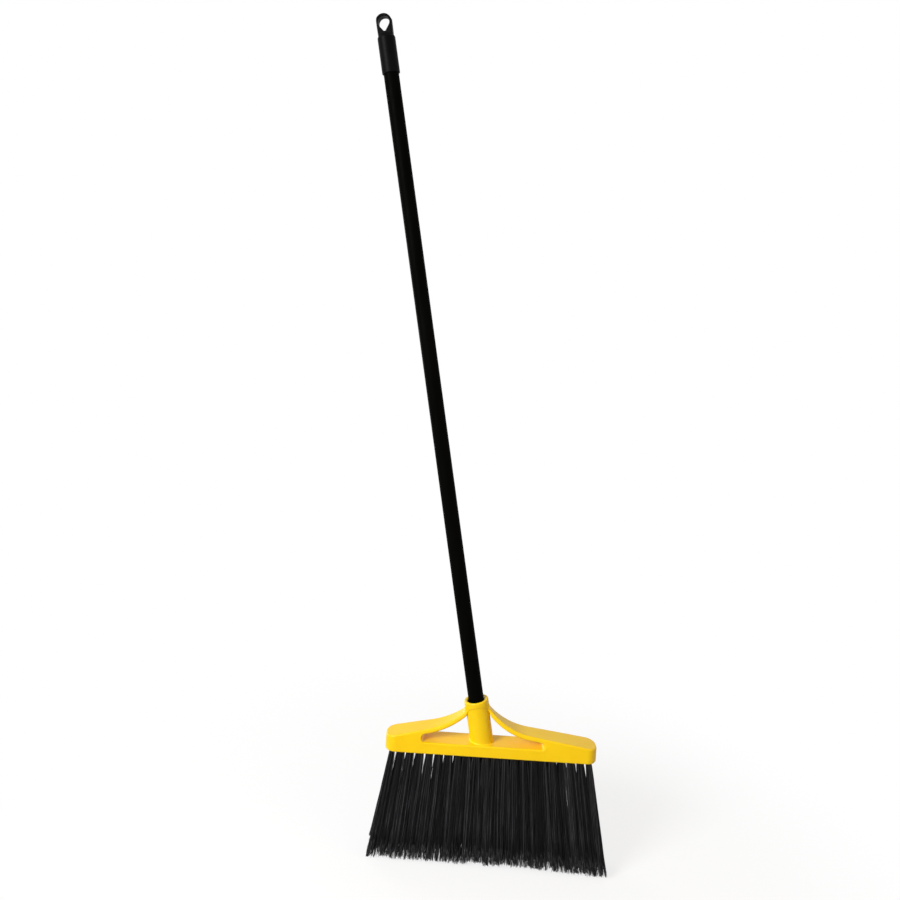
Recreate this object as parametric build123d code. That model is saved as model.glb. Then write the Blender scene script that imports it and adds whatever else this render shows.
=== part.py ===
"""Angle broom: a moulded block with four rows of tufts, a screw-in tube handle and a hanging cap.

Millimetres. The origin is the middle of the sweeping face, where the trimmed bristle tips meet the floor.
+Z is up from the floor, +X runs along the block to the longer bristles and -Y is the front.
"""
import os
from math import cos, radians, sin, sqrt, tan

from build123d import *

# The sweeping face: where the block stands over the trimmed tips
trim_height = 154.0          # from the tips to the middle of the block's underside
trim_angle = 1.5             # degrees between the block's underside and the trimmed tips

# The block: a round-ended bar with two arms that rise to the socket's collar
block_width = 302.0
block_depth = 38.0           # at the underside
bar_draft = 2.0              # degrees, front and back of the bar lean in towards the top
arm_draft = 14.0             # degrees more for the arms
bend_height = 13.0           # where front and back begin to lean in further
bend_reach = 18.0            # and how much higher the arms' full draft is reached
bar_height = 16.0            # underside to the floor of the windows
end_height = 20.0            # underside to the top of each end
end_radius = 15.0            # rounded ends, seen from above
end_overhang = 5.0           # the front outline runs past the ends, which round it off
edge_radius = 2.0
arm_thickness = 6.2
left_arm_slope = 13.0        # degrees, straight part of each arm
right_arm_slope = 7.5
left_arm_radius = 115.0      # sweep of each arm up to the collar
right_arm_radius = 95.0
arm_drop = 12.9              # from the socket's rim down to where the arms' tops meet the collar
left_arm_blend = 6.0         # fillet of each arm's top against the collar
right_arm_blend = 12.0
shoulder_rise = 8.0          # from there up to the shoulder, where the arm ends on the collar
shoulder_radius = 4.0
left_window_margin = 51.0    # from the block's end to the window
right_window_margin = 76.5
left_window_flat = 0.1       # straight part of the window's end, between its round corners
right_window_flat = 1.0
end_share = 0.7              # part of each margin that belongs to the block's end stretch
same_place = 0.01            # closer than this, two places count as one

# The socket and its collar, which lean to the left and are a little wider than deep
socket_offset = -13.5        # foot of the socket's axis, from the block's middle
socket_lean = 11.5           # degrees from the block's upright
socket_width = 33.4
socket_depth = 30.8
socket_length = 60.0         # bar to rim, along the axis
collar_width = 35.0
collar_depth = 32.6
collar_height = 8.5          # at its front, where its lower edge arches up
collar_step = 0.3            # the arms' band stays this much inside the collar
band_height = 2.5            # how far the arms' band shows below the collar at the front
band_blend = 12.0            # hollow curve from each arm's face to the collar, seen from above
band_start = 34.0            # height in the block where the band begins to part from the arms
arch_margin = 1.0            # the collar's arch is this much wider than the band's
foot_radius = 1.5            # where the socket stands on the bar
arch_blend = 8.0             # round corner between each arm's lower edge and the arch
rim_radius = 1.6
mouth_diameter = 23.6        # mouth round the tube
mouth_depth = 27.3
mouth_radius = 3.0
thread_diameter = 19.05      # the thread is drawn as a plain cylinder at its crests
thread_length = 25.0
thread_clearance = 0.08      # radial
thread_end_gap = 1.5

# The handle: tube, tip and cap, measured along the socket's axis from the bar
tube_diameter = 22.2
tube_wall = 0.9
tip_flange = 2.0
tip_plug_length = 32.0
tip_plug_clearance = 0.05    # radial, pressed into the tube
tip_core_diameter = 12.0
tip_core_depth = 40.0
tip_chamfer = 1.6
cap_rim_height = 967.0
cap_diameter = 25.8
cap_sleeve_length = 52.0
cap_clearance = 0.05         # radial, round the tube
cap_crown = 3.5              # solid plastic above the tube's end
cap_shoulder = 5.0           # cone up to the neck
cap_neck_diameter = 21.0
cap_edge = 0.8
loop_width = 23.4
loop_length = 29.2           # neck to the top of the loop
loop_depth = 15.0
loop_wall = 3.2
loop_top_wall = 4.0
loop_foot = 3.7              # solid plastic between neck and hole
loop_edge = 1.2
loop_point_radius = 2.2      # lower end of the pear-shaped hole
loop_turn = -8.0             # degrees, the loop is turned a little from the block's front

# The tufts: two long outer rows and two inner rows with one tuft less, each on a slice of the underside
row_pitch = 7.0
tufts_in_long_row = 22
tuft_span = 283.0            # first to last tuft of a long row
short_row_inset = 0.6        # how far an inner row starts inside an outer one
strip_thickness = 2.0
strip_margin = 4.5           # slice past the end tufts
strand_root_spread = 1.65    # from a tuft's middle to its outer strands
strand_radius = 1.0
strand_tip_spread = 4.3
strand_row_spread = 3.2
strand_sides = 3
strand_turn = 30.0           # degrees from one tuft to the next
corner_turn = 45.0           # degrees, outer strands against the middle one
tip_reach_left = 157.0       # outermost tuft's middle at the tips
tip_reach_right = 174.0
row_flare = 2.1              # tip spacing of the rows over their spacing at the block
anchor_width = 4.6
anchor_height = 3.0
anchor_thickness = 0.6
anchor_clearance = 0.04

ROWS = ("front", "front_inner", "back_inner", "back")

# The block's own frame: its underside's middle, along the block, upright to it
on_block = Pos(0, 0, trim_height) * Rot(0, -trim_angle, 0)
# The socket's frame: z runs up its axis from the bar's top, in the block's frame and in the whole part's
in_axis = Pos(socket_offset, 0, bar_height) * Rot(0, -socket_lean, 0)
on_axis = on_block * in_axis


def axis_point(radius, height):
    """A point beside the socket's axis, in the block's front view."""
    lean = radians(socket_lean)
    x = socket_offset + radius * cos(lean) - height * sin(lean)
    z = bar_height + radius * sin(lean) + height * cos(lean)
    return Vector(x, z)


def arm_top(side, slope, radius):
    """End point, tangent point and root of an arm's upper edge, and its rising direction."""
    end = Vector(side * (block_width / 2 + end_overhang), end_height - end_overhang * tan(radians(slope)))
    root = axis_point(side * collar_width / 2, socket_length - arm_drop)
    rise = Vector(-side * cos(radians(slope)), sin(radians(slope)))
    normal = Vector(side * sin(radians(slope)), cos(radians(slope)))
    along = (root - end).dot(rise)
    above = (root - end).dot(normal)
    tangent = end + rise * (along - sqrt(2 * radius * above - above**2))
    return end, tangent, root, rise


def front_outline():
    """The block seen from the front, without its windows and socket."""
    left_end, left_tangent, left_root, left_rise = arm_top(-1, left_arm_slope, left_arm_radius)
    right_end, right_tangent, right_root, right_rise = arm_top(1, right_arm_slope, right_arm_radius)
    left_foot = Vector(left_end.X, 0)
    right_foot = Vector(right_end.X, 0)
    edges = [
        Line(left_foot, right_foot),
        Line(right_foot, right_end),
        Line(right_end, right_tangent),
        TangentArc(right_tangent, right_root, tangent=right_rise),
        Line(right_root, left_root),
        TangentArc(left_tangent, left_root, tangent=left_rise),
        Line(left_tangent, left_end),
        Line(left_end, left_foot),
    ]
    return make_face(edges)


def blended_outline(outline):
    """The front outline with each arm's top curving up onto the collar's side."""
    side = collar_width / 2
    low = socket_length - arm_drop
    shoulder = low + shoulder_rise
    brim = socket_length - rim_radius
    corners = ((side, low), (side, shoulder), (0, brim), (-side, shoulder), (-side, low))
    shape = outline + make_face(Polyline(*[axis_point(*corner) for corner in corners], close=True))
    for across, height, radius in (
        (-side, low, left_arm_blend),
        (side, low, right_arm_blend),
        (-side, shoulder, shoulder_radius),
        (side, shoulder, shoulder_radius),
    ):
        corner = axis_point(across, height)
        shape = fillet(shape.vertices().sort_by_distance(corner)[0], radius)
    return shape


def span(start, end):
    """All that lies above the bar between two places along the block, in its front view."""
    middle = Pos((start + end) / 2, bar_height + socket_length / 2)
    return middle * Rectangle(abs(end - start), socket_length)


def window_radius(margin, slope, flat):
    """Corner radius at a window's end, which leaves the straight part between the bar and the arm."""
    rise = margin * tan(radians(slope)) - arm_thickness / cos(radians(slope))
    height = end_height + rise - bar_height
    return (height - flat) / (1 + tan(radians(45 - slope / 2)))


def window_outline(outline):
    """The opening under both arms: the outline drawn in by an arm's thickness, with round ends."""
    left = left_window_margin - block_width / 2
    right = block_width / 2 - right_window_margin
    drawn_in = offset(outline, -arm_thickness)
    window = drawn_in & span((left + socket_offset) / 2, (right + socket_offset) / 2)
    for start, margin, slope, flat in (
        (left, left_window_margin, left_arm_slope, left_window_flat),
        (right, right_window_margin, right_arm_slope, right_window_flat),
    ):
        radius = window_radius(margin, slope, flat)
        half = offset(offset(drawn_in & span(start, socket_offset), -radius), radius)
        window += half & span(start, (start + socket_offset) / 2)
    return window


def arch_outline(height, radius):
    """The arch over the socket, seen from the front, with its crown that far below the rim."""
    middle = axis_point(0, socket_length - height - radius)
    return Pos(middle.X, middle.Y) * Circle(radius)


def arched_opening(window):
    """The opening under both arms with the arch on top, and round corners where they meet."""
    radius = collar_width / 2
    arch = arch_outline(collar_height, radius)
    opening = window + arch
    middle = Vertex(arch.center())
    corners = [v for v in opening.vertices() if abs(v.distance_to(middle) - radius) < same_place]
    return fillet(corners, arch_blend)


def half_depth(height):
    """From the block's middle to its front at that height: the bar is nearly upright, the arms lean in."""
    lean = tan(radians(arm_draft))
    depth = block_depth / 2 - height * tan(radians(bar_draft))
    above = max(0.0, height - bend_height)
    if above < bend_reach:
        return depth - lean * above**2 / (2 * bend_reach)
    return depth - lean * (above - bend_reach / 2)


def plan_outline(height):
    """The block seen from above at that height, with round ends."""
    depth = 2 * half_depth(height)
    return RectangleRounded(block_width, depth, end_radius * depth / block_depth)


def band_outline(height):
    """The same with the band round the collar, which flows out of the arms in hollow curves."""
    reach = collar_width / 2 - collar_step
    depth = collar_depth / 2 - collar_step
    x = socket_offset - (height - bar_height) * tan(radians(socket_lean))
    shape = plan_outline(height) + Pos(x, 0) * Ellipse(reach, depth)
    half = half_depth(height)
    across = reach * sqrt(1 - (half / depth) ** 2)
    corners = [Vertex(x + side * across, y * half, 0) for side in (-1, 1) for y in (-1, 1)]
    nearest = [min(shape.vertices(), key=corner.distance_to) for corner in corners]
    return fillet(nearest, band_blend)


def drafted_slab():
    """The block's depth from underside to rim: bar and ends below, arms and collar band above."""
    top = bar_height + socket_length
    low = [0, bend_height, bend_height + bend_reach / 2, band_start]
    high = [band_start, (2 * band_start + top) / 3, (band_start + 2 * top) / 3, top]
    bar = loft([Pos(0, 0, height) * plan_outline(height) for height in low])
    return bar + loft([Pos(0, 0, height) * band_outline(height) for height in high])


def soft_stretch(outline, slab, start, end):
    """A stretch of the block with soft edges all round, but for its cut ends."""
    height = bar_height + socket_length
    stretch = Pos((start + end) / 2, height / 2) * Rectangle(end - start, 2 * height)
    piece = extrude(Plane.XZ * (outline & stretch), block_depth, both=True) & slab
    sides = []
    others = []
    for face in piece.faces():
        x = face.center().X
        if face.geom_type == GeomType.BSPLINE or abs(x) > block_width / 2 - same_place:
            sides.extend(face.edges())
        elif min(abs(x - start), abs(x - end)) > same_place:
            others.extend(face.edges())
    return fillet([edge for edge in sides if edge in others], edge_radius)


def block_body(outline, window):
    """Bar, arms and band, made as two end stretches and a middle one, before the socket is added."""
    front = blended_outline(outline) - arched_opening(window)
    slab = drafted_slab()
    far = block_width / 2 + end_overhang
    left = end_share * left_window_margin - block_width / 2
    right = block_width / 2 - end_share * right_window_margin
    middle = soft_stretch(front, slab, left, right)
    return middle + soft_stretch(front, slab, -far, left) + soft_stretch(front, slab, right, far)


def socket_body():
    """The socket, solid, along its own axis, from inside the bar to inside the collar."""
    length = bar_height / 2 + socket_length - rim_radius
    return Pos(0, 0, -bar_height / 2) * extrude(Ellipse(socket_width / 2, socket_depth / 2), length)


def collar_body():
    """The collar: a ring round the socket's top, whose lower edge arches over from arm to arm."""
    height = collar_height - band_height
    radius = collar_width / 2 + arch_margin
    foot = socket_length - height - radius
    ring = in_axis * Pos(0, 0, foot) * extrude(Ellipse(collar_width / 2, collar_depth / 2), height + radius)
    ring = fillet(ring.faces().sort_by(Axis.Z)[-1].edges(), rim_radius)
    return ring - extrude(Plane.XZ * arch_outline(height, radius), block_depth, both=True)


def soft_foot(block):
    """The block with a small hollow curve where the socket stands on the bar."""
    closed = [edge for edge in block.edges() if edge.is_closed]
    foot = Vertex(socket_offset, 0, bar_height)
    return fillet(min(closed, key=lambda edge: foot.distance_to(Vertex(edge.center()))), foot_radius)


def socket_bore():
    """What the socket leaves open: a wide mouth with a round lip, and the threaded hole."""
    mouth = mouth_diameter / 2
    hole = thread_diameter / 2 + thread_clearance
    seat = socket_length - mouth_depth
    bottom = seat - thread_length - thread_end_gap
    lip_foot = (mouth, socket_length - mouth_radius)
    lip_top = (mouth + mouth_radius, socket_length)
    profile = make_face(
        [
            Line((0, bottom), (hole, bottom)),
            Line((hole, bottom), (hole, seat)),
            Line((hole, seat), (mouth, seat)),
            Line((mouth, seat), lip_foot),
            RadiusArc(lip_foot, lip_top, mouth_radius),
            Line(lip_top, (0, socket_length)),
            Line((0, socket_length), (0, bottom)),
        ]
    )
    return revolve(Plane.XZ * profile, Axis.Z)


def row_y(row):
    """Where a row stands across the block."""
    return (row - (len(ROWS) - 1) / 2) * row_pitch


def tuft_places(row):
    """The tufts' places along a row: an inner row has one tuft less over nearly the same length."""
    short = 0 < row < len(ROWS) - 1
    count = tufts_in_long_row - short
    length = tuft_span - 2 * short * short_row_inset
    return [length * (i / (count - 1) - 0.5) for i in range(count)]


def strip_slab(row):
    """The slice of the block's underside that carries one row."""
    length = tuft_span + 2 * strip_margin
    return Pos(0, row_y(row), strip_thickness / 2) * Box(length, row_pitch, strip_thickness)


def anchor_slabs(row, clearance=0.0):
    """The flat wire anchors of one row, standing on the slice across each tuft's fold."""
    width = anchor_width + 2 * clearance
    thickness = anchor_thickness + 2 * clearance
    height = anchor_height + 2 * clearance
    middle = strip_thickness + anchor_clearance - clearance + height / 2
    return [Pos(x, row_y(row), middle) * Box(width, thickness, height) for x in tuft_places(row)]


def broom_block():
    """The whole moulding, with the slots for the anchors and the recess for the four slices."""
    outline = front_outline()
    window = window_outline(outline)
    block = soft_foot(block_body(outline, window) + collar_body() + in_axis * socket_body())
    cuts = [in_axis * socket_bore()]
    for row in range(len(ROWS)):
        cuts.append(strip_slab(row))
        cuts.extend(anchor_slabs(row, anchor_clearance))
    return on_block * (block - cuts)


def strand(root_x, root_y, tip_x, tip_y, turn):
    """One strand, flat-sided, from the sweeping face to inside its slice."""
    root = (on_block * Pos(root_x, root_y, strip_thickness / 2)).position
    tip = Vector(tip_x, tip_y, 0)
    section = Pos(tip_x, tip_y) * Rot(0, 0, turn) * RegularPolygon(strand_radius, strand_sides)
    return extrude(section, (root - tip).length, dir=(root - tip).normalized())


def tuft_row(row):
    """One row of tufts: each tuft is a middle strand and four round it, which fan out to the tips."""
    strands = []
    y = row_y(row)
    scale = (tip_reach_left + tip_reach_right) / tuft_span
    shift = (tip_reach_right - tip_reach_left) / 2
    for place, x in enumerate(tuft_places(row)):
        tip_x = shift + scale * x
        tip_y = row_flare * y
        strands.append(strand(x, y, tip_x, tip_y, strand_turn * place))
        for side_x in (-1, 1):
            for side_y in (-1, 1):
                strands.append(
                    strand(
                        x + side_x * strand_root_spread,
                        y + side_y * strand_root_spread,
                        tip_x + side_x * strand_tip_spread,
                        tip_y + side_y * strand_row_spread,
                        strand_turn * place + corner_turn * side_x * side_y,
                    )
                )
    return (on_block * strip_slab(row)).fuse(*strands)


def handle_tube():
    """The straight metal tube, from the tip's flange to inside the cap."""
    bottom = socket_length - mouth_depth + tip_flange
    top = cap_rim_height + cap_sleeve_length - cap_crown
    wall = Circle(tube_diameter / 2) - Circle(tube_diameter / 2 - tube_wall)
    return on_axis * Pos(0, 0, bottom) * extrude(wall, top - bottom)


def threaded_tip():
    """The tip: a plug inside the tube, a flange under its end and the thread below."""
    seat = socket_length - mouth_depth
    plug = tube_diameter / 2 - tube_wall - tip_plug_clearance
    thread = thread_diameter / 2
    bottom = seat - thread_length
    top = seat + tip_flange + tip_plug_length
    core = tip_core_diameter / 2
    profile = make_face(
        Polyline(
            (0, bottom),
            (thread - tip_chamfer, bottom),
            (thread, bottom + tip_chamfer),
            (thread, seat),
            (tube_diameter / 2, seat),
            (tube_diameter / 2, seat + tip_flange),
            (plug, seat + tip_flange),
            (plug, top - tip_chamfer),
            (plug - tip_chamfer, top),
            (core, top),
            (core, top - tip_core_depth),
            (0, top - tip_core_depth),
            close=True,
        )
    )
    return on_axis * revolve(Plane.XZ * profile, Axis.Z)


def cap_sleeve():
    """The cap's round part: sleeve, crown over the tube's end and shoulder up to the neck."""
    outer = cap_diameter / 2
    bore = tube_diameter / 2 + cap_clearance
    shoulder = cap_rim_height + cap_sleeve_length
    neck = shoulder + cap_shoulder
    profile = make_face(
        Polyline(
            (bore, cap_rim_height),
            (outer - cap_edge, cap_rim_height),
            (outer, cap_rim_height + cap_edge),
            (outer, shoulder),
            (cap_neck_diameter / 2, neck),
            (0, neck),
            (0, shoulder - cap_crown),
            (bore, shoulder - cap_crown),
            close=True,
        )
    )
    return revolve(Plane.XZ * profile, Axis.Z)


def loop_plate():
    """The hanging loop: a deep pear-shaped band that grows out of the neck, round at its corners."""
    neck = cap_rim_height + cap_sleeve_length + cap_shoulder
    round_radius = loop_width / 2
    hole_radius = round_radius - loop_wall
    top = neck + loop_length
    bow = Pos(0, top - round_radius) * Circle(round_radius)
    root = Pos(0, neck - cap_shoulder / 2) * Rectangle(cap_neck_diameter, cap_shoulder)
    outer = make_hull((Sketch() + [bow, root]).edges())
    eye = Pos(0, top - loop_top_wall - hole_radius) * Circle(hole_radius)
    point = Pos(0, neck + loop_foot + loop_point_radius) * Circle(loop_point_radius)
    pear = make_hull((Sketch() + [eye, point]).edges())
    plate = extrude(Plane.XZ * (outer - pear), loop_depth / 2, both=True)
    faces = plate.faces().sort_by(Axis.Y)
    plate = fillet(faces[0].edges() + faces[-1].edges(), loop_edge)
    return plate & Pos(0, 0, neck - cap_shoulder) * extrude(Circle(round_radius), loop_length + cap_shoulder)


def hang_cap():
    """The cap with its loop, turned a little on the tube."""
    return on_axis * Rot(0, 0, loop_turn) * (cap_sleeve() + loop_plate())


def write_parts():
    """One file for each piece or row of like pieces."""
    os.makedirs("parts", exist_ok=True)
    nodes = {
        "broom_block": broom_block(),
        "handle_tube": handle_tube(),
        "threaded_tip": threaded_tip(),
        "hang_cap": hang_cap(),
    }
    for row, name in enumerate(ROWS):
        nodes["tuft_row_" + name] = tuft_row(row)
        nodes["anchors_" + name] = Compound([(on_block * slab).solid() for slab in anchor_slabs(row)])
    for name, shape in nodes.items():
        export_step(shape, "parts/" + name + ".step")
        print(name, "solids", len(shape.solids()))


write_parts()
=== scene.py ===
# %% [markdown]
# An angle broom, built in Blender around its CAD model. The yellow block, the tube, the cap and the
# anchors are finished CAD shapes and only need their materials. The bristles are different: the CAD rows
# hold a few stout strands, and here they become thousands of fine filaments. Everything is in metres, and
# the origin is the middle of the sweeping face, where the tips meet the floor.

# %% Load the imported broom
from math import cos, pi, radians, sin, tau

import bmesh
import bpy
import numpy as np
from mathutils import Matrix, Vector, geometry


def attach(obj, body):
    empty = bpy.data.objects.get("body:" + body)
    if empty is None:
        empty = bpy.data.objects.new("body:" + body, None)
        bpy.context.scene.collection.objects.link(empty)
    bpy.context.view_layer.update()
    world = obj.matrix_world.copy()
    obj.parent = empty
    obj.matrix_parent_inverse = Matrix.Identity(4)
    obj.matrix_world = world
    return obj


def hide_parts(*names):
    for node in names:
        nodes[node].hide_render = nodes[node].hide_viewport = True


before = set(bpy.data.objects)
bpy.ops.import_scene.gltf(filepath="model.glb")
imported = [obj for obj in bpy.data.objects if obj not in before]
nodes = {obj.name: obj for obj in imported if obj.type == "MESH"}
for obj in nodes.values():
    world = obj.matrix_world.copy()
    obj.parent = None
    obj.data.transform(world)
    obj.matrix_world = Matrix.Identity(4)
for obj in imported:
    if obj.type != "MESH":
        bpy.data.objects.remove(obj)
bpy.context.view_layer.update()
scene = bpy.context.scene
print("nodes:", ", ".join(sorted(nodes)))

# %% [markdown]
# The photograph looks straight at the front of the broom from about the height of a table, and it is
# rolled by five degrees, so the block slopes down to the right. A camera can be aimed with a Track To
# constraint, but then its roll is hard to set. Writing the camera's own axes into its matrix places it
# and rolls it in one go. The picture is cropped off centre, which the lens shift repeats.

# %% Set the camera
camera_roll = radians(5.27)
collar_middle = Vector((-0.02712, 0, 0.22684))
left_of_collar = 0.0377
above_collar = 0.5561
in_front_of_collar = 1.2107

camera_right = Vector((cos(camera_roll), 0, sin(camera_roll)))
camera_up = Vector((-sin(camera_roll), 0, cos(camera_roll)))
camera_back = Vector((0, -1, 0))
camera_place = collar_middle - left_of_collar * camera_right
camera_place += above_collar * camera_up
camera_place += in_front_of_collar * camera_back
camera_turn = Matrix((camera_right, camera_up, camera_back)).transposed().to_4x4()

lens = bpy.data.cameras.new("photo_camera")
lens.sensor_width = 36
lens.lens = 33.66
lens.shift_y = -0.1522
camera = bpy.data.objects.new("photo_camera", lens)
scene.collection.objects.link(camera)
camera.matrix_world = Matrix.Translation(camera_place) @ camera_turn
scene.camera = camera
scene.view_settings.view_transform = "Standard"
print("camera height above the floor:", round(camera_place.z, 3))

# %% [markdown]
# Materials and the sky are graphs of nodes. Each node and link can be written out by hand, but that takes
# many lines. One helper that adds a node and fills its inputs keeps everything below short. A number or a
# colour goes straight onto a socket, and the output of another node is linked to it.

# %% A helper for shader nodes


def shader_node(tree, kind, inputs=None, **settings):
    """Adds a node, sets its properties, and fills its inputs with numbers, colours or links."""
    node = tree.nodes.new(kind)
    for name, value in settings.items():
        setattr(node, name, value)
    for name, value in (inputs or {}).items():
        if isinstance(value, bpy.types.NodeSocket):
            tree.links.new(value, node.inputs[name])
        else:
            node.inputs[name].default_value = value
    return node


print("helper:", shader_node.__name__)

# %% [markdown]
# The studio is a white floor that runs on into a white background, as on a product page. Strong lamps
# would turn both white, but the broom would be washed out with them. So floor and background glow with a
# strength of 1, which is white, and only for rays that show them. The Light Path node tells those rays
# from the ones that light the broom.

# %% White for the camera


def seen_as_background(tree):
    """1 for rays that show the background: straight from the camera, mirrored or through glass."""
    path = shader_node(tree, "ShaderNodeLightPath")
    seen = path.outputs["Is Camera Ray"]
    for kind in ("Is Glossy Ray", "Is Transmission Ray"):
        either = shader_node(tree, "ShaderNodeMath", {0: seen, 1: path.outputs[kind]}, operation="MAXIMUM")
        seen = either.outputs[0]
    return seen


print("helper:", seen_as_background.__name__)

# %% [markdown]
# The floor is white as well, but the broom's soft shadow has to show on it. A floor that only glows would
# hide the shadow, and a floor that is only painted would show an edge against the background. Near the
# broom this one is a quarter matt paint, which takes the lamp light, and three quarters glow. Further out
# it fades to glow alone.

# %% The floor's finish
matt_share = 0.25
fade_start = 0.25
fade_end = 0.7


def floor_finish():
    """White that keeps a soft shadow near the broom and melts into the background further out."""
    material = bpy.data.materials.new("studio_floor")
    material.use_nodes = True
    tree = material.node_tree
    tree.nodes.clear()
    spot = shader_node(tree, "ShaderNodeTexCoord").outputs["Object"]
    distance = shader_node(tree, "ShaderNodeVectorMath", {0: spot}, operation="LENGTH").outputs["Value"]
    span = {"Value": distance, "From Min": fade_start, "From Max": fade_end}
    away = shader_node(tree, "ShaderNodeMapRange", span, interpolation_type="SMOOTHSTEP").outputs["Result"]
    seen = seen_as_background(tree)
    matt = shader_node(tree, "ShaderNodeBsdfDiffuse", {"Color": (matt_share, matt_share, matt_share, 1)})
    near_glow = shader_node(tree, "ShaderNodeMath", {0: seen, 1: 1 - matt_share}, operation="MULTIPLY")
    near_white = shader_node(tree, "ShaderNodeEmission", {"Strength": near_glow.outputs[0]})
    near = shader_node(tree, "ShaderNodeAddShader", {0: matt.outputs[0], 1: near_white.outputs[0]})
    far = shader_node(tree, "ShaderNodeEmission", {"Strength": seen})
    mixed = shader_node(tree, "ShaderNodeMixShader", {0: away, 1: near.outputs[0], 2: far.outputs[0]})
    shader_node(tree, "ShaderNodeOutputMaterial", {"Surface": mixed.outputs[0]})
    return material


studio_white = floor_finish()
print("finish:", studio_white.name)

# %% [markdown]
# The broom stands on its trimmed tips. A curved backdrop is the usual studio floor, but with the glow
# above one flat square does, because its edges can't be seen. It lies a hair below the tips, so that they
# don't cut through it.

# %% Lay the floor
floor_half = 4.0
floor_drop = 0.0004
square_corners = ((-1, -1), (1, -1), (1, 1), (-1, 1))

floor_mesh = bpy.data.meshes.new("studio_floor")
floor_points = [(x * floor_half, y * floor_half, -floor_drop) for x, y in square_corners]
floor_mesh.from_pydata(floor_points, [], [(0, 1, 2, 3)])
floor_mesh.materials.append(studio_white)
floor = bpy.data.objects.new("studio_floor", floor_mesh)
scene.collection.objects.link(floor)
print("floor width:", 2 * floor_half)

# %% [markdown]
# The light in the photograph is soft and comes from the upper left, so the key lamp is a large soft box
# there. The sky fills in from all sides. It looks white, but lights the broom with a little over a third
# of that. On the right a weak orange lamp stands for the light that the yellow plastic throws back into
# its own shadows. The third lamp shapes the broom in views from behind. A sun lamp would be simpler, but
# its shadows are hard.

# %% Light the studio
sky_fill = 0.38
block_spot = Vector((0, 0, 0.2))


def light_sky():
    """A sky that lights the broom weakly and still looks white."""
    world = bpy.data.worlds.new("studio_sky")
    scene.world = world
    world.use_nodes = True
    tree = world.node_tree
    tree.nodes.clear()
    span = {"Value": seen_as_background(tree), "To Min": sky_fill, "To Max": 1.0}
    glow = shader_node(tree, "ShaderNodeMapRange", span).outputs[0]
    sky = shader_node(tree, "ShaderNodeBackground", {"Color": (1, 1, 1, 1), "Strength": glow})
    shader_node(tree, "ShaderNodeOutputWorld", {"Surface": sky.outputs[0]})


def soft_box(name, place, size, power, colour=(1, 1, 1)):
    """A square lamp that points at the block."""
    light = bpy.data.lights.new(name, "AREA")
    light.color = colour
    light.size = size
    light.energy = power
    lamp = bpy.data.objects.new(name, light)
    lamp.location = place
    lamp.rotation_euler = (block_spot - Vector(place)).to_track_quat("-Z", "Y").to_euler()
    scene.collection.objects.link(lamp)


light_sky()
soft_box("key_lamp", (-1.6, -1.6, 1.25), size=0.9, power=64)
soft_box("fill_lamp", (1.6, -1.0, 0.9), size=1.2, power=8, colour=(1.0, 0.7, 0.4))
soft_box("back_lamp", (-1.6, 1.6, 0.45), size=1.2, power=18)

# %% [markdown]
# No real plastic or coating is one flat colour. It has faint clouds, uneven gloss and a fine grain from
# its mould. Pictures could be painted for these, but noise made by the shader needs no unwrapping. It is
# read in object coordinates, so it stays put on the part when the part moves.

# %% Noise for colour, gloss and grain
noise_low = 0.3
noise_high = 0.7


def noise(tree, scale, detail, stretch):
    """Noise in the part's own coordinates. A stretch below 1 draws it out along that axis."""
    spot = shader_node(tree, "ShaderNodeTexCoord").outputs["Object"]
    mapped = shader_node(tree, "ShaderNodeMapping", {"Vector": spot, "Scale": stretch}).outputs[0]
    grains = {"Vector": mapped, "Scale": scale, "Detail": detail}
    return shader_node(tree, "ShaderNodeTexNoise", grains).outputs["Fac"]


def pulled_to(tree, value, low, high):
    """Noise pulled out to the range from low to high."""
    span = {"Value": value, "From Min": noise_low, "From Max": noise_high, "To Min": low, "To Max": high}
    return shader_node(tree, "ShaderNodeMapRange", span).outputs[0]


def mixed_colour(tree, value, dark, light):
    """A colour between two others, by a value from noise. A Mix node has its colours on sockets 6 and 7."""
    share = pulled_to(tree, value, 0, 1)
    mix = shader_node(tree, "ShaderNodeMix", {0: share, 6: (*dark, 1), 7: (*light, 1)}, data_type="RGBA")
    return mix.outputs[2]


def grain_bump(tree, value, height):
    """A bump of that height in metres."""
    bump = {"Height": value, "Distance": height, "Strength": 1.0}
    return shader_node(tree, "ShaderNodeBump", bump).outputs[0]


print("noise is used from", noise_low, "to", noise_high)

# %% [markdown]
# Plastic, coating, wire and filament differ in their numbers and not in how they are built. Each could
# have its own graph, but one recipe is easier to tune: clouds in the colour, finer patches in the gloss,
# and the finest noise as grain. A value that is the same all over goes straight onto the shader's own
# socket.

# %% One recipe for every finish
cloud_detail = 3.0
patch_detail = 4.0
grain_detail = 2.0
patches_per_cloud = 7


def make_finish(name, colours, roughness, cloud, grain, height, constants, stretch=(1, 1, 1)):
    """A material with cloudy colour, uneven gloss and a fine grain. Cloud and grain are noise scales."""
    material = bpy.data.materials.new(name)
    material.use_nodes = True
    tree = material.node_tree
    clouds = noise(tree, cloud, cloud_detail, stretch)
    patches = noise(tree, cloud * patches_per_cloud, patch_detail, stretch)
    grains = noise(tree, grain, grain_detail, stretch)
    shader = tree.nodes["Principled BSDF"]
    tree.links.new(mixed_colour(tree, clouds, *colours), shader.inputs["Base Color"])
    tree.links.new(pulled_to(tree, patches, *roughness), shader.inputs["Roughness"])
    tree.links.new(grain_bump(tree, grains, height), shader.inputs["Normal"])
    for socket, value in constants.items():
        shader.inputs[socket].default_value = value
    return material


def dress(node, material):
    """Puts a material on a CAD piece."""
    nodes[node].data.materials.clear()
    nodes[node].data.materials.append(material)


print("helpers:", make_finish.__name__, dress.__name__)

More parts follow.
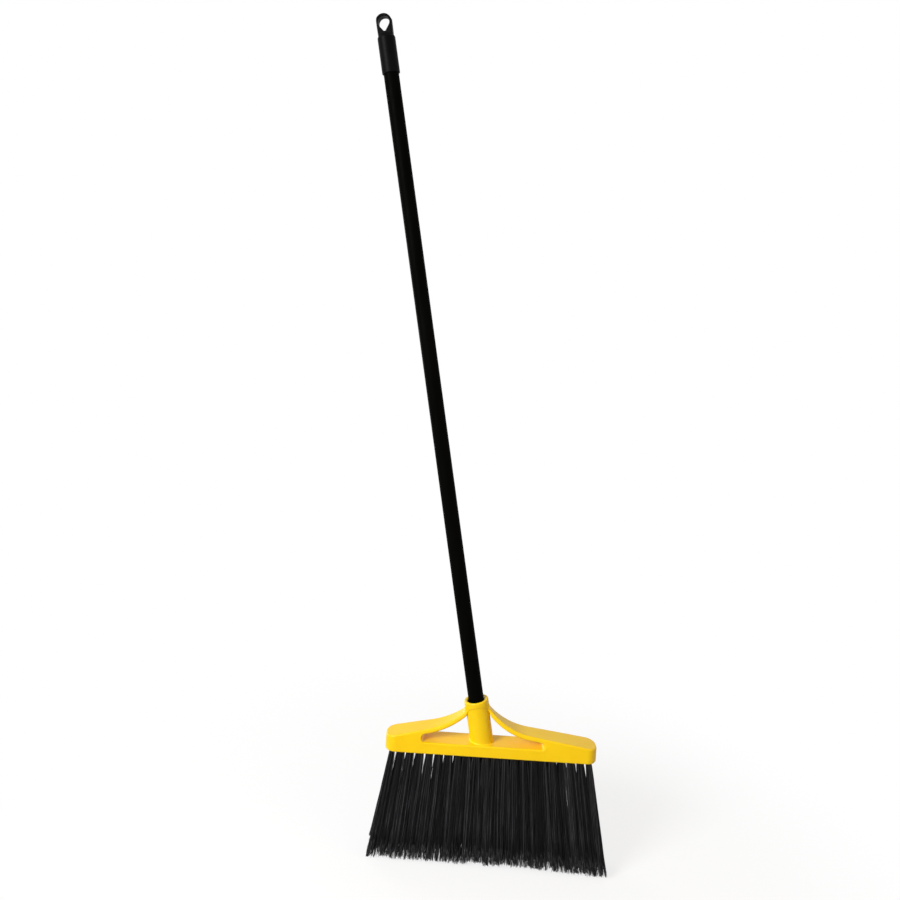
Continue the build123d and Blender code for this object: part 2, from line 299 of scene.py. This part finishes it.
# %% [markdown]
# The block is one injection moulding in opaque yellow plastic with a satin skin. A painted look would be
# easy, but it is too hard: light goes a little way into such plastic and comes out warmer. A small share
# of subsurface scattering gives that, with a reach of millimetres in red and less in the other colours.

# %% Yellow moulded plastic
yellow_plastic = make_finish(
    "yellow_plastic",
    colours=((0.91, 0.57, 0.001), (0.95, 0.625, 0.003)),
    roughness=(0.3, 0.4),
    cloud=24,
    grain=1500,
    height=0.000012,
    constants={
        "Specular IOR Level": 0.32,
        "Subsurface Weight": 0.08,
        "Subsurface Radius": (0.004, 0.0016, 0.0004),
    },
)
dress("broom_block", yellow_plastic)
print("finish:", yellow_plastic.name)

# %% [markdown]
# The handle is a metal tube with a smooth, nearly black coating. A gloss black would show bright lines
# from the lamps, and the photograph shows the tube almost flat black, so it shines very little. Its noise
# is drawn out upwards, which is nearly along the tube, because the marks of a drawn tube run lengthwise.

# %% Black coating on the tube
tube_coating = make_finish(
    "tube_coating",
    colours=((0.0009, 0.0009, 0.0007), (0.0018, 0.0018, 0.0015)),
    roughness=(0.45, 0.6),
    cloud=60,
    grain=700,
    height=0.00001,
    constants={"Specular IOR Level": 0.01},
    stretch=(1, 1, 0.08),
)
dress("handle_tube", tube_coating)
print("finish:", tube_coating.name)

# %% [markdown]
# The hanging cap is moulded in black plastic, a little greyer than the tube, with the fine sparkle of an
# eroded mould. The same black could serve both, but then the cap would melt into the tube. So it gets a
# finer and deeper grain and more shine.

# %% Black plastic on the cap
black_plastic = make_finish(
    "black_plastic",
    colours=((0.0012, 0.0012, 0.0014), (0.0024, 0.0024, 0.0027)),
    roughness=(0.38, 0.5),
    cloud=90,
    grain=2600,
    height=0.00003,
    constants={"Specular IOR Level": 0.036},
)
dress("hang_cap", black_plastic)
print("finish:", black_plastic.name)

# %% [markdown]
# The tufts stand in four rows in the block's flat underside, which leans a little, because the tips are
# trimmed aslant. The inner rows have one tuft less. So near the middle they stand in the gaps of the
# outer rows, and near the ends they line up with them and leave the white gaps of the photograph. The
# places could be typed in one by one, but they follow from a few lengths, the same ones as in the CAD
# model.

# %% Where the tufts stand
trim_height = 0.154
trim_angle = radians(1.5)
tuft_span = 0.283
row_pitch = 0.007
tufts_in_long_row = 22
short_row_inset = 0.0006
row_names = ("front", "front_inner", "back_inner", "back")
rows = range(len(row_names))


def on_block(points):
    """Points in the block's own frame, from the middle of its underside, moved to the broom's frame."""
    x, y, z = np.moveaxis(np.asarray(points, float), -1, 0)
    moved = (
        x * cos(trim_angle) - z * sin(trim_angle),
        y,
        trim_height + x * sin(trim_angle) + z * cos(trim_angle),
    )
    return np.stack(moved, -1)


def row_y(row):
    """How far a row stands behind the block's middle line."""
    return (row - (len(row_names) - 1) / 2) * row_pitch


def tuft_places(row):
    """Places along the block. The two inner rows have one tuft less over nearly the same length."""
    short = 0 < row < len(row_names) - 1
    count = tufts_in_long_row - short
    return (np.arange(count) / (count - 1) - 0.5) * (tuft_span - 2 * short * short_row_inset)


print("tufts in each row:", [len(tuft_places(row)) for row in rows])

# %% [markdown]
# A short piece of flat steel wire is driven across the fold of each tuft and pins it in the block. Nobody
# sees these anchors unless the block is cut open. They could be left grey, but a metal finish costs one
# call and makes them right in a cutaway.

# %% Anchor wire
anchor_wire = make_finish(
    "anchor_wire",
    colours=((0.5, 0.5, 0.48), (0.62, 0.62, 0.6)),
    roughness=(0.3, 0.45),
    cloud=200,
    grain=3000,
    height=0.00001,
    constants={"Metallic": 1.0},
)
for row_name in row_names:
    dress("anchors_" + row_name, anchor_wire)
print("finish:", anchor_wire.name, "on", len(row_names), "rows")

# %% [markdown]
# The plate, the threaded tip and the bristles are new pieces. Each has to ride on a body, so that it
# moves with the joints, and needs its materials. That could be written out for each one, but a helper
# makes sure that none is left out.

# %% A helper that adds a piece


def add_piece(name, mesh, materials, body, slot):
    """A finished piece that rides on a body and carries the given materials. The slot is not used."""
    piece = bpy.data.objects.new(name, mesh)
    scene.collection.objects.link(piece)
    for material in materials:
        mesh.materials.append(material)
    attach(piece, body)
    return piece


print("helper:", add_piece.__name__)

# %% [markdown]
# On the real block the tufts stand in round holes. In the CAD model each row carries its own slice of the
# underside, and the slices go when the rows are replaced. One plate takes their place, with a hole for
# every tuft. A Boolean could cut the holes one after another, but triangulating the outline together with
# its circles gives a cleaner mesh. The triangles also fill the circles, so those with all their corners
# on one circle are left out.

# %% Outline and holes of the plate
plate_margin = 0.0045
hole_radius = 0.0031
hole_sides = 14
inside_only = 1
same_point = 1e-7


def plate_loops():
    """Flat loops of points: the plate's outline, and then a circle for each tuft."""
    half_x = tuft_span / 2 + plate_margin
    half_y = len(row_names) / 2 * row_pitch
    loops = [[(x * half_x, y * half_y) for x, y in square_corners]]
    angles = [tau * k / hole_sides for k in range(hole_sides)]
    for row in rows:
        for place in tuft_places(row):
            loops.append([(place + hole_radius * cos(a), row_y(row) + hole_radius * sin(a)) for a in angles])
    return loops


def open_triangles(loops):
    """Points, and the triangles between the outline and the circles."""
    flat = [Vector(point) for loop in loops for point in loop]
    loop_of = [number for number, loop in enumerate(loops) for _ in loop]
    edges = []
    for loop in loops:
        start = len(edges)
        edges += [(start + k, start + (k + 1) % len(loop)) for k in range(len(loop))]
    result = geometry.delaunay_2d_cdt(flat, edges, [], inside_only, same_point)
    points, _, triangles, origins, _, _ = result
    return points, [face for face in triangles if len({loop_of[origins[k][0]] for k in face}) > 1]


plate_points, plate_triangles = open_triangles(plate_loops())
print("points:", len(plate_points), "triangles between the holes:", len(plate_triangles))

# %% [markdown]
# The triangles are the plate's lower face. A Solidify modifier could thicken them, but code does it in a
# few lines and leaves no modifier on the piece. A second copy of the triangles makes the upper face, and
# a wall goes along every open edge, round the outline and round each hole.

# %% The plate with its tuft holes
plate_depth = 0.002


def plate_mesh(points, triangles):
    """A plate between two copies of the triangles, with a wall along every open edge."""
    shape = bmesh.new()
    low = [shape.verts.new(on_block((p.x, p.y, 0))) for p in points]
    high = [shape.verts.new(on_block((p.x, p.y, plate_depth))) for p in points]
    for face in triangles:
        shape.faces.new([low[k] for k in face])
        shape.faces.new([high[k] for k in reversed(face)])
    shape.verts.index_update()
    for edge in [e for e in shape.edges if e.is_boundary and e.verts[0].index < len(low)]:
        a, b = (v.index for v in edge.verts)
        shape.faces.new((low[a], low[b], high[b], high[a]))
    bmesh.ops.recalc_face_normals(shape, faces=shape.faces)
    mesh = bpy.data.meshes.new("tuft_plate")
    shape.to_mesh(mesh)
    shape.free()
    return mesh


tuft_plate_mesh = plate_mesh(plate_points, plate_triangles)
tuft_plate = add_piece("tuft_plate", tuft_plate_mesh, [yellow_plastic], "head", "yellow_plastic")
print(tuft_plate.name, "faces:", len(tuft_plate_mesh.polygons))

# %% [markdown]
# A coarse thread at the handle's lower end screws into the block's socket, and shows only when the handle
# is taken out. The CAD tip is a plain cylinder at the thread's crests, because a helix is heavy for a
# solid modeller. A Screw modifier could wind a helix, but its ends stay open. A formula for the radius is
# simpler: one rounded ridge that climbs a pitch in each turn and fades out at both ends.

# %% The line of the thread
thread_pitch = 0.00508
thread_length = 0.025
thread_crest = 0.009525
thread_root = 0.0081
thread_bottom = 0.0077
thread_top = thread_bottom + thread_length
ridge_steepness = 1.8
fade_at_bottom = 0.003
fade_at_top = 0.002


def thread_radius(angle, height):
    """Radius of the tip's skin at an angle round it and a height up the handle's line."""
    phase = height / thread_pitch - angle / tau
    ridge = 0.5 + 0.5 * max(-1.0, min(1.0, ridge_steepness * cos(tau * phase)))
    fade = min(1.0, (height - thread_bottom) / fade_at_bottom, (thread_top - height) / fade_at_top)
    return thread_root + (thread_crest - thread_root) * ridge * max(0.0, fade)


print("thread turns:", round(thread_length / thread_pitch, 1))

# %% [markdown]
# Above its thread the tip has a flange, on which the tube stands, and a plug with a hollow core, which
# sits in the tube. Blender's Spin tool turns one outline into such a round body, but the thread's outline
# changes all the way round. So the tip is a stack of rings, close together along the thread and one at
# each corner above it.

# %% Rings of the tip
tip_sides = 48
thread_rings = 110
lead_in_height = 0.0012
lead_in_depth = 0.0014
tube_radius = 0.0111
flange_height = 0.002
plug_radius = 0.01015
plug_length = 0.032
plug_end_radius = 0.0086
plug_chamfer = 0.0016
core_radius = 0.006
core_depth = 0.04


def tip_rings():
    """Rings of (radius, height): up the thread, over flange and plug, and down the hollow core."""
    rings = [[(thread_root - lead_in_depth, thread_bottom)] * tip_sides]
    angles = [tau * side / tip_sides for side in range(tip_sides)]
    for height in np.linspace(thread_bottom + lead_in_height, thread_top, thread_rings):
        rings.append([(thread_radius(angle, height), height) for angle in angles])
    flange_top = thread_top + flange_height
    plug_top = flange_top + plug_length
    outline = (
        (tube_radius, thread_top),
        (tube_radius, flange_top),
        (plug_radius, flange_top),
        (plug_radius, plug_top - plug_chamfer),
        (plug_end_radius, plug_top),
        (core_radius, plug_top),
        (core_radius, plug_top - core_depth),
    )
    return rings + [[point] * tip_sides for point in outline]


print("rings of the tip:", len(tip_rings()))

# %% [markdown]
# The rings are skinned into one closed mesh in the place of the CAD tip. Its own line starts on top of
# the bar and leans to the left with the socket. The object could be turned to that line, but writing the
# turn into the points keeps all pieces in one frame.

# %% The threaded tip
socket_offset = -0.0135
bar_height = 0.016
socket_lean = radians(11.5)
handle_foot = Vector(on_block((socket_offset, 0, bar_height)))
handle_frame = Matrix.Translation(handle_foot) @ Matrix.Rotation(-socket_lean - trim_angle, 4, "Y")


def skinned_mesh(name, rings, place):
    """A closed mesh through rings of (radius, height), with a flat face at each end."""
    shape = bmesh.new()
    loops = []
    for ring in rings:
        loop = []
        for side, (radius, height) in enumerate(ring):
            angle = tau * side / len(ring)
            loop.append(shape.verts.new(place @ Vector((radius * cos(angle), radius * sin(angle), height))))
        loops.append(loop)
    for low, high in zip(loops, loops[1:]):
        for here in range(len(low)):
            after = (here + 1) % len(low)
            shape.faces.new((low[here], low[after], high[after], high[here]))
    shape.faces.new(reversed(loops[0]))
    shape.faces.new(loops[-1])
    bmesh.ops.recalc_face_normals(shape, faces=shape.faces)
    mesh = bpy.data.meshes.new(name)
    shape.to_mesh(mesh)
    shape.free()
    return mesh


screw_mesh = skinned_mesh("screw_tip", tip_rings(), handle_frame)
screw_tip = add_piece("screw_tip", screw_mesh, [black_plastic], "handle", "black_plastic")
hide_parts("threaded_tip")
print(screw_tip.name, "faces:", len(screw_mesh.polygons))

# %% [markdown]
# A tuft is a bundle of plastic filament, folded in half and pinned in its hole. Blender's hair system
# draws such strands, but it isn't a mesh that other programs can read, so here every filament becomes a
# thin tube. Filaments cling together towards the tips. Each one gets a place in its round tuft, and its
# tip is drawn to the nearest of a few clump middles. The tufts at both ends of a row fan out less to the
# outside.

# %% Clumps in a tuft
filaments_per_tuft = 130
clumps_per_tuft = 28
clump_looseness = 0.38
end_fan = 0.4


def points_in_disc(rng, *shape):
    """Points spread evenly over a disc of radius 1."""
    angle = rng.uniform(0, tau, shape)
    out = np.sqrt(rng.uniform(0, 1, shape))
    return np.stack((out * np.cos(angle), out * np.sin(angle)), -1)


def hold_ends(spots):
    """Keeps the first and the last tuft of a row from fanning out past the ends of the broom."""
    spots[0, :, 0] = spots[0, :, 0].clip(-end_fan, None)
    spots[-1, :, 0] = spots[-1, :, 0].clip(None, end_fan)
    return spots


def tuft_clumps(tufts, rng):
    """Each filament's place in its tuft, the place its tip is drawn to, and the number of its clump."""
    own = hold_ends(points_in_disc(rng, tufts, filaments_per_tuft))
    middles = points_in_disc(rng, tufts, clumps_per_tuft)
    apart = np.linalg.norm(own[:, :, None] - middles[:, None], axis=-1)
    nearest = apart.argmin(-1)
    drawn = np.take_along_axis(middles, nearest[:, :, None], 1)
    drawn = hold_ends(drawn + (own - drawn) * clump_looseness)
    clump = nearest + np.arange(tufts)[:, None] * clumps_per_tuft
    return own.reshape(-1, 2), drawn.reshape(-1, 2), clump.ravel()


filaments_in_all = filaments_per_tuft * sum(len(tuft_places(row)) for row in rows)
print("filaments on the broom:", filaments_in_all)

# %% [markdown]
# The tips are trimmed to a line once the tufts are set, and the line is a little hollow between its ends.
# A perfectly even cut would look drawn with a ruler. So whole tufts, clumps and single filaments each
# fall a little short of the line, and small shortfalls are more common than large ones.

# %% Where the tips end
tip_reach_left = 0.157
tip_reach_right = 0.173
trim_hollow = 0.0038
hollow_skew = 1.3
tuft_shortfall = 0.0025
clump_shortfall = 0.006
filament_shortfall = 0.0006
filament_shortfall_limit = 0.003


def trim_rise(x):
    """How far the trim stands above the floor. It is a little hollow between its ends."""
    along = np.clip((x + tip_reach_left) / (tip_reach_left + tip_reach_right), 0, 1)
    return trim_hollow * np.sin(pi * along**hollow_skew)


def per_filament(values):
    """One value for each tuft, repeated for all its filaments."""
    return np.repeat(values, filaments_per_tuft)


def shortfalls(tufts, clump, rng):
    """How far each filament falls short of the trim."""
    short = per_filament(rng.uniform(0, tuft_shortfall, tufts))
    short += clump_shortfall * rng.uniform(0, 1, clump.max() + 1)[clump] ** 2
    short += rng.exponential(filament_shortfall, len(clump)).clip(0, filament_shortfall_limit)
    return short


print("width over the tips:", round(tip_reach_left + tip_reach_right, 3))

# %% [markdown]
# A row starts in its holes and ends at the trim. There it is wider and deeper than at the block, and it
# reaches further to the right than to the left. The tips could simply stand below their holes, but a
# broom is made to fan out. Each tuft also leans a little to one side, so that no two gaps between tufts
# are alike.

# %% Both ends of a filament
row_flare = 2.1
tip_clearance = 0.0004


def filament_ends(row, lean, short):
    """The middle of the tuft at the root and at the tip of each filament."""
    root_x = per_filament(tuft_places(row))
    fan = (tip_reach_left + tip_reach_right) / tuft_span
    tip_x = (tip_reach_right - tip_reach_left) / 2 + fan * root_x + lean
    across = np.full(len(root_x), row_y(row))
    depth = np.full(len(root_x), plate_depth / 2)
    root = on_block(np.stack((root_x, across, depth), -1))
    tip = np.stack((tip_x, row_flare * across, trim_rise(tip_x) + short + tip_clearance), -1)
    return root, tip


print("depth over the rows at the tips:", round(row_flare * (row_y(rows[-1]) - row_y(rows[0])), 4))

# %% [markdown]
# Filaments leave their hole close together, become a wider column just below it, and then fan out to the
# tips with a slight wave. The front row fills out soonest and the inner rows stay slim, as the photograph
# suggests. A simulation could bend the strands, but a formula is quicker, and arrays work out a whole row
# at once, stop by stop. The last stop but one is where the end begins to split.

# %% The way a filament runs
bristle_seed = 40
root_half = 0.76 * hole_radius
column_half = np.array(((0.0044, 0.0031), (0.0028, 0.0029), (0.0028, 0.0029), (0.0032, 0.0031)))
tip_half = np.array((0.0110, 0.0037))
fan_power = (0.5, 1.0, 1.0, 1.0)
fan_power_range = (0.7, 1.25)
fullness_range = (0.82, 1.12)
lean_spread = 0.0012
lean_limit = 0.002
clump_pull = 3
wave_size = 0.0006
wave_turns = 1.3
shaft_stops = (0.0, 0.03, 0.08, 0.16, 0.28, 0.46, 0.68)
split_range = (0.84, 0.97)


def row_paths(row, rng):
    """The middle line of each filament in a row at every stop, and the clump it belongs to."""
    tufts = len(tuft_places(row))
    own, drawn, clump = tuft_clumps(tufts, rng)
    count = len(clump)
    fullness = per_filament(rng.uniform(*fullness_range, tufts))[:, None]
    power = fan_power[row] * per_filament(rng.uniform(*fan_power_range, tufts))[:, None]
    lean = per_filament(rng.normal(0, lean_spread, tufts).clip(-lean_limit, lean_limit))
    root, tip = filament_ends(row, lean, shortfalls(tufts, clump, rng))
    phase = rng.uniform(0, tau, (count, 2))
    split = rng.uniform(*split_range, count)
    lines = []
    for stop in (*shaft_stops, split, 1.0):
        t = np.broadcast_to(stop, count)[:, None]
        half = (column_half[row] + (tip_half - column_half[row]) * t**power) * fullness
        half = np.where(t > 0, half, root_half)
        middle = root + (tip - root) * t
        middle[:, :2] += (own + (drawn - own) * t**clump_pull) * half
        middle[:, :2] += wave_size * t * np.sin(phase + tau * wave_turns * t)
        lines.append(middle)
    return np.stack(lines, 1), clump


paths, _ = row_paths(0, np.random.default_rng(bristle_seed))
print("filaments in the front row:", len(paths), "lowest tip:", round(float(paths[..., 2].min()), 4))

# %% [markdown]
# A filament is about half a millimetre thick. A curve with a bevel would give a tube with no work, but
# thousands of curves are slow. Arrays place the corners round all lines at once and count out the faces
# between them. Three sides are enough at this size, and both ends are closed.

# %% Tubes round the lines
strand_sides = 3


def tube_points(lines, radii, spin):
    """Corners round each line, in flat rings, which is enough for strands that hang nearly upright."""
    angles = spin[:, None] + tau * np.arange(strand_sides) / strand_sides
    ring = np.stack((np.cos(angles), np.sin(angles), np.zeros_like(angles)), -1)
    return (lines[:, :, None, :] + radii[None, :, None, None] * ring[:, None, :, :]).reshape(-1, 3)


def tube_faces(tubes, rings, first):
    """Corner numbers of the quads along many tubes that lie one after another, and of their two ends."""
    counts = (np.arange(tubes), np.arange(rings - 1), np.arange(strand_sides))
    tube, ring, side = np.meshgrid(*counts, indexing="ij")
    here = first + (tube * rings + ring) * strand_sides
    above = here + strand_sides
    after = (side + 1) % strand_sides
    quads = np.stack((here + side, here + after, above + after, above + side), -1).reshape(-1, 4)
    bottom = first + np.arange(tubes)[:, None] * rings * strand_sides + np.arange(strand_sides)[::-1]
    top = bottom[:, ::-1] + (rings - 1) * strand_sides
    return quads.tolist() + bottom.tolist() + top.tolist()


shaft_rings = len(shaft_stops) + 1
faces_per_shaft = len(tube_faces(1, shaft_rings, 0))
print("faces of one shaft:", faces_per_shaft)

# %% [markdown]
# The ends of the filaments are flagged: they are split into fine hairs, which makes the tips soft and
# speckled. A texture could speckle them, but the outline would stay hard. So two thin spikes leave the
# end of every shaft. Every face is given a shade: black, the filament's own colour; lit, a painted
# highlight on clumps and hairs that would catch more light; and grey, for split ends that are paler
# and carry painted highlight too.

# %% Flagged hairs and shades
hairs_per_filament = 2
hair_rings = 2
hair_scatter = 0.0006
hair_shortfall = 0.0015
# Shares of faces that get painted highlight (lit), or the grey of split ends with painted highlight.
lit_clump_share = 0.09
lit_filament_share = 0.24
lit_hair_share = 0.4
grey_hair_share = 0.3
black, lit, grey = range(3)


def hair_tips(ends, rng):
    """Where hairs end: off to any side of their filament's tip and a little above it."""
    aside = rng.normal(0, hair_scatter, (len(ends), 3)) * (1, 1, 0)
    above = rng.uniform(0, hair_shortfall, (len(ends), 1)) * (0, 0, 1)
    return ends + aside + above


def shaft_shades(clump, rng):
    """Black or lit for each filament: lit where its whole clump is, or by its own luck."""
    # Lit is a painted highlight on black filament, not a different filament.
    lit_clump = rng.uniform(0, 1, clump.max() + 1) < lit_clump_share
    lit_alone = rng.uniform(0, 1, len(clump)) < lit_filament_share
    return np.where(lit_clump[clump] | lit_alone, lit, black)


def hair_shades(shafts, rng):
    """Grey or lit for some hairs, and the shade of the shaft for the others."""
    # Lit hairs are painted highlight. Grey hairs are paler split ends that carry painted highlight too.
    is_grey = rng.uniform(0, 1, len(shafts)) < grey_hair_share
    is_lit = rng.uniform(0, 1, len(shafts)) < lit_hair_share
    return np.where(is_grey, grey, np.where(is_lit, lit, shafts))


def face_shades(shades, rings):
    """The shade of every face of many tubes, in the order of their faces."""
    return [np.repeat(shades, strand_sides * (rings - 1)), shades, shades]


print("hairs on the broom:", hairs_per_filament * filaments_in_all)

# %% [markdown]
# All shafts and hairs of a row go into one mesh, because an object for every filament would make Blender
# slow. The corners, faces and shades are collected in the same order, so that each face finds its shade.

# %% Shafts and hairs as one mesh
shaft_radius = 0.0003
hair_radius = 0.0002
hair_end_radius = 0.00012


def bristle_mesh(name, row, rng):
    """One row's filaments with their hairs, and a shade for each face."""
    lines, clump = row_paths(row, rng)
    count = len(lines)
    spin = rng.uniform(0, tau, count)
    shafts = shaft_shades(clump, rng)
    points = [tube_points(lines[:, :-1], np.full(shaft_rings, shaft_radius), spin)]
    faces = tube_faces(count, shaft_rings, 0)
    shades = face_shades(shafts, shaft_rings)
    for hair in range(hairs_per_filament):
        hairs = np.stack((lines[:, -2], hair_tips(lines[:, -1], rng)), 1)
        faces += tube_faces(count, hair_rings, sum(len(p) for p in points))
        points.append(tube_points(hairs, np.array((hair_radius, hair_end_radius)), spin + hair))
        shades += face_shades(hair_shades(shafts, rng), hair_rings)
    mesh = bpy.data.meshes.new(name)
    mesh.from_pydata(np.concatenate(points), [], faces)
    mesh.polygons.foreach_set("use_smooth", np.ones(len(mesh.polygons), bool))
    return mesh, np.concatenate(shades).astype(np.int32)


faces_per_hair = len(tube_faces(1, hair_rings, 0))
print("faces for one filament:", faces_per_shaft + hairs_per_filament * faces_per_hair)

# %% [markdown]
# Filament is drawn plastic, so its colour and gloss vary along it in long streaks. The lamps alone could
# make some strands lighter, but strands this fine blur into one black. Three finishes stand for the three
# shades: the filament's own black, a lighter copy that paints highlight on strands that catch the light,
# and the grey of the split ends, which are paler and carry painted highlight too.

# %% Three finishes for the filament
blue_cast = 1.1


def filament_finish(name, dark, light, cloud, streak):
    """Black filament between two greys, streaked along its length."""
    return make_finish(
        name,
        colours=[(tone, tone, tone * blue_cast) for tone in (dark, light)],
        roughness=(0.38, 0.55),
        cloud=cloud,
        grain=900,
        height=0.00001,
        constants={"Specular IOR Level": 0.2},
        stretch=(1, 1, streak),
    )


# lit_filament is painted highlight on black filament; flagged_tip is the paler grey of split ends with
# painted highlight.
filament_finishes = (
    filament_finish("black_filament", dark=0.003, light=0.008, cloud=420, streak=0.04),
    filament_finish("lit_filament", dark=0.025, light=0.065, cloud=420, streak=0.04),
    filament_finish("flagged_tip", dark=0.01, light=0.1, cloud=800, streak=0.6),
)
print("finishes:", [shade.name for shade in filament_finishes])

# %% [markdown]
# Each of the four meshes takes the place of a row of stout CAD strands. One mesh for all would be
# shorter, but then the rows couldn't be told apart. Every row has its own seed, so no two are alike, and
# the broom comes out the same in every run.

# %% The four rows of bristles
for row, row_name in enumerate(row_names):
    mesh, shades = bristle_mesh("bristles_" + row_name, row, np.random.default_rng(bristle_seed + row))
    bristles = add_piece("bristles_" + row_name, mesh, filament_finishes, "head", "black_filament")
    mesh.polygons.foreach_set("material_index", shades)
    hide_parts("tuft_row_" + row_name)
    print(bristles.name, "faces:", len(mesh.polygons))
